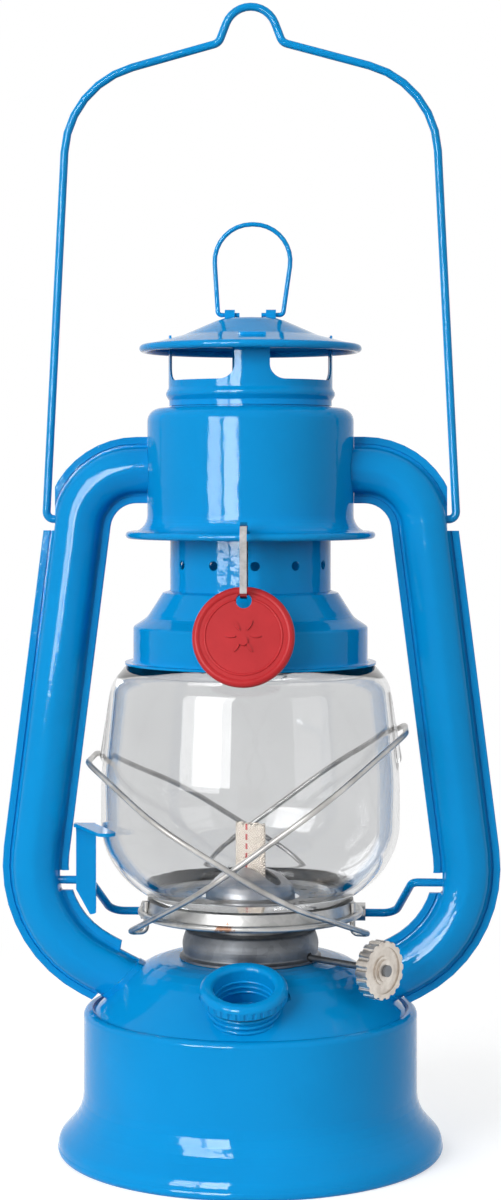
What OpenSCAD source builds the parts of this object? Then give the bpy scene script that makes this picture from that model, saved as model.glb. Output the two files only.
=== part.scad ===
// Kerosene hurricane lamp with a wire bail, a lifting globe and a sprung chimney.
// Millimetres, +Z up, front at -Y, origin at the middle of the foot.

/* [Overall] */
// Width across the two side tubes
overall_w = 150; // [146:1:160]
// Thickness of the painted sheet metal
sheet_t = 0.6; // [0.5:0.05:0.7]
// Gap between pieces that are pressed or seamed together
seam_gap = 0.05; // [0.03:0.01:0.08]
// Gap between pieces that slide or turn past each other
run_gap = 0.3; // [0.25:0.05:0.4]

/* [Tank] */
// Diameter of the tank wall
tank_d = 100.2; // [98:0.2:102]
// Diameter of the foot over its rolled rim
foot_d = 115.6; // [110:0.2:118]
// Diameter of the rolled rim
foot_bead_d = 3.4; // [3:0.1:4]
// Width of the flat ring that the lamp stands on
foot_flat_w = 1.6; // [1:0.1:2]
// Height of the flared foot
flare_h = 15.3; // [13:0.1:18]
// Height of the tank wall with its folded shoulder
tank_h = 42.5; // [40:0.1:45]
// Height of the top of the domed cover above the shoulder
dome_rise = 15; // [14:0.1:16]
// Distance from the axis to the brow of the dome
dome_brow = 31; // [29:0.1:33]
// Height of the tank floor
floor_h = 7; // [6:0.1:9]

/* [Filler] */
// Forward lean of the filler neck
filler_lean = 22; // [18:1:24]
// Distance from the axis to the neck, measured on the dome
filler_reach = 37; // [36.5:0.1:37.5]
// Outside diameter of the neck
neck_d = 20.4; // [19:0.1:21]
// Length of neck that stands above the dome, on its axis
neck_rise = 1; // [0.8:0.1:1.6]
// Diameter of the cap over its knurled rim
filler_cap_d = 25.4; // [25:0.1:26]
// Thickness of the knurled rim
filler_rim_t = 4.2; // [3.6:0.1:5]
// Notches in the knurled rim
filler_notches = 34; // [24:1:40]
// Depth of the pocket in the dome round the neck
pocket_drop = 0.8; // [0.6:0.1:1]
// Depth of the threaded cup below the rim
filler_cup_h = 8; // [7:0.1:9]
// Thickness of the gasket
gasket_t = 0.8; // [0.6:0.1:1]

/* [Burner] */
// Diameter of the burner skirt at its waist
skirt_d = 41.2; // [40:0.2:42]
// Diameter of the flared foot of the skirt
skirt_foot_d = 42.6; // [42:0.2:44]
// Diameter of the skirt at its top
skirt_top_d = 38.6; // [38:0.2:39]
// Height of the skirt
skirt_h = 8.6; // [8:0.1:9]
// Diameter of the screwed cup under the skirt
cup_d = 31; // [30:0.2:32]
// Depth of the screwed cup
cup_h = 10; // [9:0.1:11]
// Diameter of the burner cone
cone_d = 27.4; // [26:0.1:28]
// Height of the cone above the skirt
cone_h = 18; // [16:0.1:19]
// Width of the flame slot
slot_w = 4.6; // [4:0.1:6]
// Length of the flame slot
slot_l = 23; // [20:0.5:25]
// Width of the wick
wick_w = 12; // [10:0.1:12.4]
// Thickness of the wick
wick_t = 2; // [1.6:0.1:2.2]
// Height of the wick above the cone
wick_out = 14; // [10:0.5:15]
// Turn of the wick and its shaft about the lamp's axis
wick_turn = -40; // [-50:1:-30]
// Diameter of the wick shaft
shaft_d = 2; // [1.8:0.1:2.2]
// Height of the shaft above the dome
shaft_rise = 1.5; // [1.4:0.1:1.8]
// Distance of the shaft from the middle of the wick
shaft_side = 4.4; // [4.2:0.1:5]
// Distance from the axis to the knob
knob_reach = 46.8; // [46:0.2:50]
// Diameter of the knob
knob_d = 17; // [16:0.2:18]
// Depth of the knob
knob_h = 4; // [3:0.1:5]
// Notches in the knob
knob_notches = 18; // [12:1:20]

/* [Side tubes] */
// Width of a tube over its seam flanges
tube_w = 20; // [18:0.1:21]
// Width of a seam flange
flange_w = 3.2; // [2.6:0.1:3.6]
// Thickness of the folded front edge of a flange
hem_t = 1.1; // [0.9:0.1:1.3]
// Depth of one half shell
shell_depth = 7.9; // [7:0.1:8.5]
// Outward lean of the straight stretch
tube_lean = 7.2; // [6:0.1:8]
// Bend radius under the hood
upper_bend_r = 18; // [16:0.1:20]
// Bend radius above the tank
lower_bend_r = 33.7; // [32:0.1:36]
// Slope of the lower end
tube_drop = 27; // [24:1:30]
// Distance from the axis at which a tube meets the dome
tube_foot = 38; // [36:0.1:40]
// Height of the rim around a tube's foot
socket_h = 1.6; // [1:0.1:2.5]

/* [Globe] */
// Room between the glass and the outside of a tube
globe_room = 30.1; // [29.6:0.1:30.6]
// How far the lower edge of the glass stands inside its widest part
globe_foot_in = 15.9; // [15:0.1:16.6]
// How far the upper edge stands inside its widest part
globe_top_in = 7.9; // [7.6:0.1:8.6]
// Height of the glass
globe_h = 70.6; // [69:0.1:72]
// Thickness of the glass
glass_t = 1.7; // [1.4:0.1:2]
// How far the globe plate reaches past the lower edge of the glass
plate_over = 4.9; // [4.4:0.1:5.4]
// Thickness of the plate
plate_t = 0.7; // [0.6:0.05:0.8]
// Height of the glass seat above the plate's rim
plate_rise = 3.8; // [3.4:0.1:4.2]
// Diameter of the hole round the burner cone
plate_hole_d = 30; // [29.2:0.2:31]
// Gap under the plate's rim, above the burner skirt
plate_gap = 5.2; // [5:0.1:5.6]
// Diameter of the guard wires
guard_d = 1.7; // [1.4:0.1:1.9]
// How far the guard wires stand off the glass
guard_off = 1.6; // [1.4:0.1:2]

/* [Lift] */
// Diameter of the lift wire
lift_d = 2.5; // [2.2:0.1:2.6]
// Height of the lift wire's pivots above the burner skirt
lift_rise = 14; // [13.5:0.1:14.5]
// Distance of the cross bar behind the pivots
lift_back = 16; // [15.8:0.1:16.6]
// Distance of the cross bar below the pivots
lift_drop = 12; // [11.8:0.1:12.2]
// Distance from a tube's wall to the crank bends
crank_in = 9.2; // [9:0.1:9.6]
// Turn of the lever
lever_angle = 30; // [20:1:32]
// Width of the lever
lever_w = 6; // [5:0.1:6.4]
// Thickness of the lever
lever_t = 1; // [0.8:0.1:1.2]
// Height of the lever above its pivot
lever_rise = 18; // [16:0.2:19]
// Reach of the thumb tab
tab_l = 28; // [24:0.5:29]

/* [Chimney] */
// How far the collar's flange reaches past the upper edge of the glass
collar_over = 0.8; // [0.6:0.1:1]
// How far the collar's wall stands inside the upper edge of the glass
collar_in = 1.7; // [1.6:0.1:2.2]
// Height of the collar's straight wall
collar_h = 11.2; // [10:0.1:12]
// Height of the cone above the collar
collar_cone_h = 10.8; // [10:0.1:12]
// Diameter of the chimney tube
chimney_d = 48.4; // [47:0.1:49]
// Bare length of chimney tube under the hood
chimney_bare = 17.6; // [17:0.1:18]
// Air holes round the chimney tube
air_holes = 12; // [8:1:16]
// Diameter of an air hole
air_hole_d = 2.8; // [2:0.1:3.2]
// How far the chimney lifts
chimney_travel = 11; // [9:0.1:11]
// Turn of the crown's legs
crown_turn = 4; // [0:1:12]
// Width of a crown leg
crown_leg_w = 10.4; // [9:0.1:11]
// Height of the crown above the hood
crown_h = 17.9; // [17.4:0.1:18.4]
// Height of the crown's closed ring
crown_ring_h = 8.1; // [7.6:0.1:8.5]
// Diameter of the chimney cap
cap_d = 67; // [65:0.2:69]
// Height of the cap
cap_h = 9.2; // [8.8:0.1:9.5]
// Diameter of the spring wire
spring_d = 1.4; // [1.2:0.1:1.6]
// Turns of the spring
spring_turns = 5; // [4:1:6]

/* [Hood] */
// Diameter of the hood
hood_d = 62.2; // [61:0.1:63]
// Diameter of its lower flange
hood_flange_d = 75.2; // [74:0.1:76]
// Height of the hood
hood_h = 37.2; // [36.6:0.1:38]
// Height of the side tubes' axis above the hood's flange
hood_tube_z = 18.6; // [18.2:0.1:19]

/* [Handles] */
// Diameter of the bail wire
bail_d = 2.5; // [2.2:0.1:2.8]
// Height of the bail's top above its pivots
bail_h = 155; // [150:0.5:158]
// Height of the bail's shoulders above its pivots
bail_shoulder_h = 131; // [128:0.5:134]
// Width between the bail's shoulders
bail_shoulder_w = 110.6; // [108:0.2:112]
// Height of the bail's pivots above the middle of the tubes' upper bend
bail_pivot_rise = 3.2; // [2.5:0.1:4]
// Diameter of the finger loop's wire
loop_d = 1.4; // [1.2:0.1:1.6]
// Height of the finger loop above its pivot
loop_h = 28; // [26:0.2:30]
// Width of the finger loop
loop_w = 23.4; // [22:0.1:25]
// Width between the loop's feet
loop_foot_w = 19.6; // [19:0.1:20]

/* [Tag] */
// Diameter of the tag
tag_d = 29.3; // [28:0.1:30]
// Thickness of the tag's rim
tag_t = 2.6; // [2.2:0.1:2.8]
// Forward lean of the tag
tag_lean = 15; // [12.5:0.5:16]
// Length of the split ring
ring_l = 22; // [21.6:0.1:22.4]
// Width of the split ring
ring_w = 9.6; // [9:0.1:10]
// Width of the ring's flat wire
ring_wire_w = 2; // [1.6:0.1:2.2]
// Thickness of the ring's flat wire
ring_wire_t = 0.9; // [0.8:0.05:1]

/* [Hidden] */

$fn = 48;
arc_step = 12;
shell_step = 30;
bend_step = 8.5;
wire_sides = 12;
// Overlap that lets a cut run clear of the face it starts from
cut = 1;

blue = "#1a93d8";
steel = "#b9bcc0";
bright = "#d5d2cb";
cloth = "#efe2cc";
red = "#c8202a";
glass_clear = [0.85, 0.9, 0.95, 0.35];

// Shapes along paths

function unit(v) = v / norm(v);
function left(v) = [-v[1], v[0]];
function backward(p) = [for (i = [len(p) - 1:-1:0]) p[i]];

// Points of the arc of radius r that rounds corner b between a and c
function arc_at(a, b, c, r, step) =
    let (u = unit(a - b), w = unit(c - b))
    let (half = acos(u * w) / 2)
    let (start = b + u * r / tan(half), middle = b + unit(u + w) * r / sin(half))
    let (turn = 180 - 2 * half, steps = ceil(turn / step))
    [for (k = [0:steps]) middle + cos(turn * k / steps) * (start - middle) - sin(turn * k / steps) * r * u];

// Path through corners that are given as [point, bend radius]
function rounded(v, step = arc_step) = [for (i = [0:len(v) - 1])
    each (v[i][1] == 0 ? [v[i][0]] : arc_at(v[i - 1][0], v[i][0], v[i + 1][0], v[i][1], step))];

// Flat path moved to its left by t
function beside(p, t) =
    let (last = len(p) - 1)
    [for (i = [0:last])
        let (j = max(i, 1), k = min(i, last - 1))
        let (a = left(unit(p[j] - p[j - 1])), b = left(unit(p[k + 1] - p[k])))
        p[i] + t * (a + b) / (1 + a * b)];

// Outline of a sheet of thickness t on the left of a flat path
function sheet(p, t) = concat(p, backward(beside(p, t)));

function tangents(p) =
    let (last = len(p) - 1)
    [for (i = [0:last]) unit(p[min(i + 1, last)] - p[max(i - 1, 0)])];

function any_normal(t) = unit(cross(t, abs(t[2]) < 0.9 ? [0, 0, 1] : [0, 1, 0]));

// Normals carried along the tangents without twist
function carried(t, n, i = 0) =
    i == len(t) ? [] :
    let (m = unit(n - (n * t[i]) * t[i])) concat([m], carried(t, m, i + 1));

// Sheet turned round the lamp's axis, on the inner side of corners that run upward
module turned_sheet(v, t) {
    rotate_extrude()
        polygon(sheet(rounded(v), t));
}

// Round wire of diameter d along the points p
module swept(p, d, sides = wire_sides) {
    t = tangents(p);
    n = carried(t, any_normal(t[0]));
    last = len(p) - 1;
    points = [for (i = [0:last], k = [0:sides - 1])
        let (a = 360 * k / sides)
        p[i] + d / 2 * (cos(a) * n[i] + sin(a) * cross(t[i], n[i]))];
    sides_of_wire = [for (i = [0:last - 1], k = [0:sides - 1])
        let (a = i * sides + k, b = i * sides + (k + 1) % sides)
        each [[a, b + sides, b], [a, a + sides, b + sides]]];
    foot = [for (k = [1:sides - 2]) [0, k, k + 1]];
    head = [for (k = [1:sides - 2]) [last * sides, last * sides + k + 1, last * sides + k]];
    polyhedron(points, concat(sides_of_wire, foot, head));
}

// Pin along X from x0 to x1
module pin_x(x0, x1, y, z, d) {
    translate([x0, y, z])
        rotate([0, 90, 0])
            cylinder(d = d, h = x1 - x0);
}

// Both copies of a piece that is mirrored across the lamp
module both_sides() {
    children();
    mirror([1, 0, 0])
        children();
}

// Tank

tank_r = tank_d / 2;
foot_r = foot_d / 2;
tank_in_r = tank_r - sheet_t;
// Height of the foot bead's middle, low enough to leave the flat ring
foot_bead_z = sqrt(pow(foot_bead_d / 2, 2) - pow(foot_flat_w / 2, 2));
foot_ledge_z = foot_bead_z + 0.6;
shoulder_r = 1.8;
shoulder_in = 2.6;
dome_z = tank_h + dome_rise;
// The dome's edge lies under the folded shoulder, on the deck
dome_edge_z = tank_h - sheet_t - seam_gap;
deck_z = dome_edge_z - 2 * sheet_t;
dome_start_r = tank_r - shoulder_in - 0.6;
dome_brow_z = dome_z - 0.6;
throat_r = cup_d / 2 + sheet_t + 2 * seam_gap;
dome_corners = [
    [[tank_in_r - 1.2, dome_edge_z], 0],
    [[dome_start_r, dome_edge_z], 0.8],
    [[dome_brow, dome_brow_z], 16],
    [[throat_r, dome_z], 0]];

// Height of the dome's slope at radius r
function dome_at(r) =
    dome_edge_z + (dome_start_r - r) * (dome_brow_z - dome_edge_z) / (dome_start_r - dome_brow);

// Solid under the outer face of the dome, grown by a gap
module under_dome(gap) {
    rotate_extrude()
        polygon(concat([[0, 0], [tank_r, 0]], beside(rounded(dome_corners), -gap), [[0, dome_z + gap]]));
}

module tank_body() {
    bead_x = foot_r - foot_bead_d / 2;
    flare_low_z = foot_bead_z + flare_h * 0.19;
    wall = [
        [[foot_r - 0.2, foot_bead_z], 0],
        [[foot_r - 0.2, flare_low_z], (flare_low_z - foot_bead_z) * 1.6],
        [[tank_r, flare_h * 0.82], flare_h * 0.9],
        [[tank_r, tank_h], shoulder_r],
        [[tank_r - shoulder_in, tank_h], 0]];
    color(blue)
        rotate_extrude()
            difference() {
                union() {
                    polygon(sheet(rounded(wall), sheet_t));
                    translate([bead_x, foot_bead_z])
                        circle(d = foot_bead_d);
                    translate([bead_x - foot_bead_d, foot_ledge_z - sheet_t])
                        square([foot_bead_d, sheet_t]);
                }
                translate([0, -foot_bead_d])
                    square([foot_d, foot_bead_d]);
            }
}

module tank_bottom() {
    rim_r = foot_r - foot_bead_d - 0.6;
    color(blue)
        rotate_extrude()
            polygon(sheet(rounded([
                [[rim_r, foot_ledge_z], 0],
                [[rim_r - 2.4, foot_ledge_z], 1],
                [[rim_r - 5, floor_h], 1.6],
                [[0, floor_h], 0]]), -sheet_t));
}

module tank_deck() {
    color(steel)
        difference() {
            rotate_extrude()
                translate([0, deck_z])
                    square([tank_in_r - 4 * seam_gap, sheet_t]);
            translate([0, 0, deck_z - cut])
                cylinder(d = cup_d - 4, h = sheet_t + 2 * cut);
            on_neck()
                translate([0, 0, -neck_below - cut])
                    cylinder(d = neck_d + 2 * seam_gap, h = neck_below);
        }
}

module tank_dome() {
    color(blue)
        difference() {
            union() {
                difference() {
                    turned_sheet(dome_corners, sheet_t);
                    on_neck()
                        translate([0, 0, -pocket_drop])
                            cylinder(r = pocket_r, h = pocket_h);
                }
                filler_pocket();
                both_sides()
                    tube_socket();
            }
            on_neck()
                translate([0, 0, -neck_below - cut])
                    cylinder(d = neck_d + 2 * seam_gap, h = neck_below + pocket_h);
            both_sides()
                tube_mouth();
        }
}

// Filler

neck_z = dome_at(filler_reach);
neck_below = (neck_z - deck_z) / cos(filler_lean) + neck_d / 2 * tan(filler_lean) + 1;
neck_t = sheet_t;
cap_cup_d = neck_d - 2 * neck_t - 2 * run_gap;
rib_d = 1.1;
rib_pitch = 1.7;
pocket_r = filler_cap_d / 2 + 3 * run_gap;
pocket_h = 12;

// Places a piece on the neck's axis, with its origin on the dome
module on_neck() {
    translate([0, -filler_reach, neck_z])
        rotate([filler_lean, 0, 0])
            children();
}

// Pocket that lets the cap sit low on the dome's uphill side
module filler_pocket() {
    wall_r = pocket_r + sheet_t;
    floor_z = -pocket_drop - sheet_t;
    intersection() {
        on_neck()
            rotate_extrude()
                polygon([[0, floor_z], [wall_r, floor_z], [wall_r, pocket_h], [pocket_r, pocket_h],
                    [pocket_r, -pocket_drop], [0, -pocket_drop]]);
        under_dome(-sheet_t / 4);
    }
}

module filler_neck() {
    color(blue)
        union() {
            on_neck()
                rotate_extrude()
                    translate([neck_d / 2 - neck_t, -neck_below])
                        square([neck_t, neck_below + neck_rise]);
            // Thread ridges, only where they stand clear of the dome
            difference() {
                on_neck()
                    rotate_extrude()
                        for (i = [0:2])
                            translate([neck_d / 2 + 0.1, neck_rise - 1 - i * rib_pitch])
                                circle(d = rib_d);
                under_dome(2 * seam_gap);
            }
        }
}

module filler_gasket() {
    color("#2a2a2a")
        on_neck()
            translate([0, 0, neck_rise])
                difference() {
                    cylinder(d = neck_d + 1.6, h = gasket_t);
                    translate([0, 0, -cut])
                        cylinder(d = cap_cup_d + 2 * seam_gap, h = gasket_t + 2 * cut);
                }
}

module filler_cap() {
    base = neck_rise + gasket_t;
    top = base + filler_rim_t;
    out_r = filler_cap_d / 2;
    cup_r = cap_cup_d / 2;
    in_r = cup_r - sheet_t;
    low = base - filler_cup_h;
    color(blue)
        on_neck()
            difference() {
                rotate_extrude() {
                    polygon(rounded([
                        [[in_r, base], 0],
                        [[out_r - 0.7, base], 0],
                        [[out_r, base + 0.7], 0],
                        [[out_r, top], 1.8],
                        [[in_r, top], 1.4],
                        [[in_r, base + 0.5], 0]]));
                    translate([in_r, low])
                        square([sheet_t, filler_cup_h + cut]);
                    translate([0, low])
                        square([cup_r, sheet_t]);
                    for (i = [0:2])
                        translate([in_r, base - 0.6 - i * rib_pitch])
                            circle(d = 0.8);
                }
                for (i = [0:filler_notches - 1])
                    rotate(i * 360 / filler_notches)
                        translate([out_r + 0.3, 0, base - cut])
                            cylinder(d = 1.4, h = filler_rim_t * 0.6 + cut);
            }
}

// Burner and wick

skirt_z = dome_z + skirt_h;
shaft_z = dome_z + shaft_rise;
cone_r = cone_d / 2;
wick_top_z = skirt_z + cone_h + wick_out;
wick_low_z = floor_h + 16;
tube_play = 0.2;
wick_tube_t = 0.5;
wheel_r = shaft_side - wick_t / 2 - 0.1;
wheel_x = 3.4;
wheel_t = 1;
bracket_x = wheel_x + wheel_t / 2 + 0.5;

// Places a piece with its X along the wick shaft
module on_wick() {
    rotate([0, 0, wick_turn])
        children();
}

module burner_collar() {
    inner_r = cup_d / 2 + seam_gap;
    color(steel)
        rotate_extrude()
            translate([inner_r, deck_z + sheet_t])
                square([sheet_t, dome_z - sheet_t - deck_z - sheet_t]);
}

module burner_skirt() {
    cup_z = dome_z - cup_h;
    color(steel)
        difference() {
            union() {
                turned_sheet([
                    [[skirt_foot_d / 2, dome_z + sheet_t], 0],
                    [[skirt_d / 2 - 0.4, dome_z + sheet_t + 0.8], 0.7],
                    [[skirt_d / 2, dome_z + skirt_h * 0.55], 6],
                    [[skirt_top_d / 2, skirt_z], 1],
                    [[cone_r + seam_gap, skirt_z], 0]], sheet_t);
                rotate_extrude()
                    polygon(sheet([
                        [skirt_foot_d / 2, dome_z],
                        [cup_d / 2, dome_z],
                        [cup_d / 2, cup_z],
                        [0, cup_z]], -sheet_t));
            }
            on_wick() {
                pin_x(0, skirt_d, shaft_side, shaft_z, shaft_d + 0.8);
                translate([-wick_outer_w / 2 - seam_gap, -wick_outer_t / 2 - seam_gap, cup_z - cut])
                    cube([wick_outer_w + 2 * seam_gap, wick_outer_t + 2 * seam_gap, sheet_t + 2 * cut]);
            }
        }
}

module burner_cone() {
    low = skirt_z - 3;
    color(steel)
        difference() {
            turned_sheet([
                [[cone_r, low], 0],
                [[cone_r, skirt_z + cone_h - 4], 9],
                [[3, skirt_z + cone_h], 4],
                [[0, skirt_z + cone_h], 0]], sheet_t);
            on_wick()
                translate([0, 0, skirt_z + cone_h - 8])
                    linear_extrude(height = 10)
                        for (s = [-1, 1])
                            translate([s * (slot_l - slot_w) / 2, 0]) {
                                circle(d = slot_w);
                                translate([s > 0 ? -slot_l / 2 : 0, -slot_w / 2])
                                    square([slot_l / 2, slot_w]);
                            }
        }
}

wick_outer_w = wick_w + 2 * tube_play + 2 * wick_tube_t;
wick_outer_t = wick_t + 2 * tube_play + 2 * wick_tube_t;

module wick_tube() {
    low = dome_z - cup_h;
    high = skirt_z + cone_h - 3;
    color(steel)
        on_wick()
            difference() {
                translate([-wick_outer_w / 2, -wick_outer_t / 2, low])
                    cube([wick_outer_w, wick_outer_t, high - low]);
                translate([-wick_w / 2 - tube_play, -wick_t / 2 - tube_play, low - cut])
                    cube([wick_w + 2 * tube_play, wick_t + 2 * tube_play, high - low + 2 * cut]);
                for (s = [-1, 1])
                    translate([s * wheel_x - wheel_t, 0, shaft_z - wheel_r - run_gap])
                        cube([2 * wheel_t, wick_outer_t, 2 * wheel_r + 2 * run_gap]);
            }
}

module shaft_bracket() {
    plate_y = wick_outer_t / 2 + seam_gap;
    color(steel)
        on_wick()
            for (s = [-1, 1])
                difference() {
                    translate([s * bracket_x - (s < 0 ? 0.8 : 0), plate_y, shaft_z - 2])
                        cube([0.8, shaft_side - plate_y + shaft_d, 4]);
                    pin_x(-bracket_x - 2, bracket_x + 2, shaft_side, shaft_z, shaft_d + 2 * seam_gap);
                }
}

module wick_shaft() {
    face_x = knob_reach + knob_h / 2 + knob_boss + seam_gap;
    color(steel)
        on_wick() {
            pin_x(-bracket_x - 2, face_x + 0.3, shaft_side, shaft_z, shaft_d);
            // Riveted end
            pin_x(face_x, face_x + 0.7, shaft_side, shaft_z, shaft_d + 1.4);
        }
}

// Height of the boss on the knob's face
knob_boss = 0.6;

module wick_wheels() {
    teeth = 14;
    color(steel)
        on_wick()
            for (s = [-1, 1])
                translate([s * wheel_x - wheel_t / 2, shaft_side, shaft_z])
                    rotate([0, 90, 0])
                        linear_extrude(height = wheel_t)
                            difference() {
                                circle(r = wheel_r);
                                circle(d = shaft_d + 2 * seam_gap);
                                for (i = [0:teeth - 1])
                                    rotate(i * 360 / teeth)
                                        translate([wheel_r + 0.1, 0])
                                            circle(d = 0.8);
                            }
}

module wick_knob() {
    wall = 0.9;
    color(bright)
        on_wick()
            translate([knob_reach - knob_h / 2, shaft_side, shaft_z])
                rotate([0, 90, 0])
                    difference() {
                        union() {
                            linear_extrude(height = knob_h)
                                difference() {
                                    circle(d = knob_d);
                                    for (i = [0:knob_notches - 1])
                                        rotate(i * 360 / knob_notches)
                                            translate([knob_d / 2 + 0.35, 0])
                                                circle(d = 1.8);
                                }
                            cylinder(d = shaft_d + 4.4, h = knob_h + knob_boss);
                        }
                        // Dished face between the rim and the boss
                        translate([0, 0, knob_h - wall / 2])
                            difference() {
                                cylinder(d = knob_d - 3.4, h = wall);
                                cylinder(d = shaft_d + 6.4, h = wall);
                            }
                        translate([0, 0, -cut])
                            difference() {
                                cylinder(d = knob_d - 4 * wall, h = knob_h - 1.5 * wall + cut);
                                cylinder(d = shaft_d + 3, h = knob_h + cut);
                            }
                        translate([0, 0, -cut])
                            cylinder(d = shaft_d + 2 * seam_gap, h = knob_h + 3 * cut);
                    }
}

module wick() {
    color(cloth)
        on_wick()
            translate([-wick_w / 2, -wick_t / 2, wick_low_z])
                cube([wick_w, wick_t, wick_top_z - wick_low_z]);
}

// Widths and heights of the globe, chimney and hood

globe_r = overall_w / 2 - globe_room;
globe_foot_r = globe_r - globe_foot_in;
globe_top_r = globe_r - globe_top_in;
plate_r = globe_foot_r + plate_over;
collar_r = globe_top_r - collar_in;
collar_flange_r = globe_top_r + collar_over;
plate_z = skirt_z + plate_gap;
globe_z = plate_z + plate_rise;
globe_top_z = globe_z + globe_h;
collar_top_z = globe_top_z + collar_h;
cone_top_z = collar_top_z + collar_cone_h;
hood_z = cone_top_z + chimney_bare;
hood_top_z = hood_z + hood_h;
tube_z = hood_z + hood_tube_z;
crown_top_z = hood_top_z + crown_h;

// Side tubes, drawn on the right and mirrored to the left

tube_half = tube_w / 2;
body_half = tube_half - flange_w;
hood_r = hood_d / 2;
lean_dir = [cos(tube_lean), sin(tube_lean)];
lower_x = overall_w / 2 - tube_half - lower_bend_r;
lower_z = dome_at(tube_foot)
    + (lower_bend_r - (tube_foot - lower_x) * sin(tube_drop)) / cos(tube_drop);
straight_l = (tube_z - upper_bend_r - lower_z - (lower_bend_r - upper_bend_r) * sin(tube_lean))
    / cos(tube_lean);
upper_x = lower_x + (lower_bend_r - upper_bend_r) * cos(tube_lean) - straight_l * sin(tube_lean);
upper_z = tube_z - upper_bend_r;
end_dir = 180 + tube_drop;
end_l = (lower_x + lower_bend_r * sin(tube_drop) - tube_foot) / cos(tube_drop);

// Outer face of one half shell, across the tube
shell_corners = [
    [[body_half, 0], 0],
    [[body_half - 0.5, shell_depth * 0.6], 2.6],
    [[0, shell_depth + 0.2], 2.4],
    [[0.5 - body_half, shell_depth * 0.6], 2.6],
    [[-body_half, 0], 0]];

// Right half of that face with the seam flange's root, from the flange to the ridge
root_corners = [
    [[body_half + 1.4, sheet_t], 0],
    [[body_half, sheet_t], 0.7],
    [[body_half - 0.5, shell_depth * 0.6], 2.6],
    [[0, shell_depth + 0.2], 2.4],
    [[0.5 - body_half, shell_depth * 0.6], 0]];
root_path = rounded(root_corners, shell_step);
root_inside = beside(root_path, sheet_t);
root_last = len(root_path) - 2;

// Both faces of a half shell across the tube, with flanges of width w and edges of thickness h
function outer_half(w, h) = concat(
    [[body_half + w, h - 0.3], [body_half + w - 0.3, h], [body_half + w * 0.35, h],
        [body_half + w * 0.3, sheet_t]],
    [for (i = [1:root_last]) if (root_path[i][0] > 0.1) root_path[i]]);
function inner_half(w) = concat(
    [[body_half + w, 0], [body_half + w - 0.3, 0], [body_half + w * 0.35, 0], [body_half + w * 0.3, 0]],
    [for (i = [1:root_last]) if (root_path[i][0] > 0.1) root_inside[i]]);
function across(p) = concat(p, [for (q = backward(p)) [-q[0], q[1]]]);

// Outline of a whole tube without its flanges
module tube_outline(grow) {
    half = beside(rounded(shell_corners), -grow);
    for (s = [0, 1])
        mirror([0, s])
            polygon(half);
}

// Straight stretch of a section from a point in the lamp's plane
module tube_straight(at, heading, length) {
    translate([at[0], at[1], 0])
        rotate([90, 0, 90 + heading])
            linear_extrude(height = length)
                children();
}

// Distance from the dome at which the flanges end
flange_clear = 6;
// Width that is left of a flange below that
flange_stub = 0.6;
seam_l = end_l - flange_clear;
foot_dir = [cos(end_dir), sin(end_dir)];
bend_end = [lower_x, lower_z] + lower_bend_r * [sin(tube_drop), -cos(tube_drop)];
upper_turn = 90 - tube_lean;
lower_turn = 90 - tube_drop + tube_lean;
upper_steps = ceil(upper_turn / bend_step);
lower_steps = ceil(lower_turn / bend_step);

// Stations down a tube as [point, heading, flange width], without the two ends
tube_stations = concat(
    [for (k = [0:upper_steps])
        let (a = 90 - upper_turn * k / upper_steps)
        [[upper_x, upper_z] + upper_bend_r * [cos(a), sin(a)], a - 90, flange_w]],
    [for (k = [0:lower_steps])
        let (a = tube_lean - lower_turn * k / lower_steps)
        [[lower_x, lower_z] + lower_bend_r * [cos(a), sin(a)], a - 90, flange_w]],
    [[bend_end + seam_l * foot_dir, end_dir, flange_w],
        [bend_end + (seam_l + 0.8) * foot_dir, end_dir, flange_stub]]);

// Point of the section q at a station
function at_station(st, q) =
    [st[0][0] - q[0] * sin(st[1]), -q[1], st[0][1] + q[0] * cos(st[1])];
// The same point on the hood, and on the dome
function at_hood(q) = [sqrt(pow(hood_r + seam_gap, 2) - q[1] * q[1]), -q[1], tube_z + q[0]];
dome_slope = (dome_brow_z - dome_edge_z) / (dome_start_r - dome_brow);
dome_peak = dome_edge_z + dome_start_r * dome_slope + seam_gap * sqrt(1 + dome_slope * dome_slope);
function at_dome(q) =
    let (p = at_station([bend_end, end_dir], q), h = dome_peak - p[2], k = dome_slope * dome_slope)
    let (a = k * foot_dir[0] * foot_dir[0] - foot_dir[1] * foot_dir[1])
    let (b = k * p[0] * foot_dir[0] + h * foot_dir[1], c = k * (p[0] * p[0] + p[1] * p[1]) - h * h)
    let (l = (-b - sqrt(b * b - a * c)) / a)
    p + l * [foot_dir[0], 0, foot_dir[1]];

function shell_ring(w, h) = concat(across(outer_half(w, h)), backward(across(inner_half(w))));

// One half of a tube as a sheet from the hood to the dome
module shell_sheet(h) {
    sides = len(shell_ring(flange_w, h));
    half = sides / 2;
    stations = len(tube_stations);
    points = concat(
        [for (q = shell_ring(flange_w, h)) at_hood(q)],
        [for (st = tube_stations) each [for (q = shell_ring(st[2], h)) at_station(st, q)]],
        [for (q = shell_ring(flange_stub, h)) at_dome(q)]);
    top = (stations + 1) * sides;
    skin = [for (i = [0:stations], k = [0:sides - 1])
        let (a = i * sides + k, b = i * sides + (k + 1) % sides)
        each [[a, b + sides, b], [a, a + sides, b + sides]]];
    ends = [for (k = [0:half - 2])
        let (a = k, b = k + 1, c = sides - 2 - k, d = sides - 1 - k)
        each [[a, b, c], [a, c, d], [top + a, top + c, top + b], [top + a, top + d, top + c]]];
    polyhedron(points, concat(skin, ends));
}

bail_z = upper_z + bail_pivot_rise;
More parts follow.
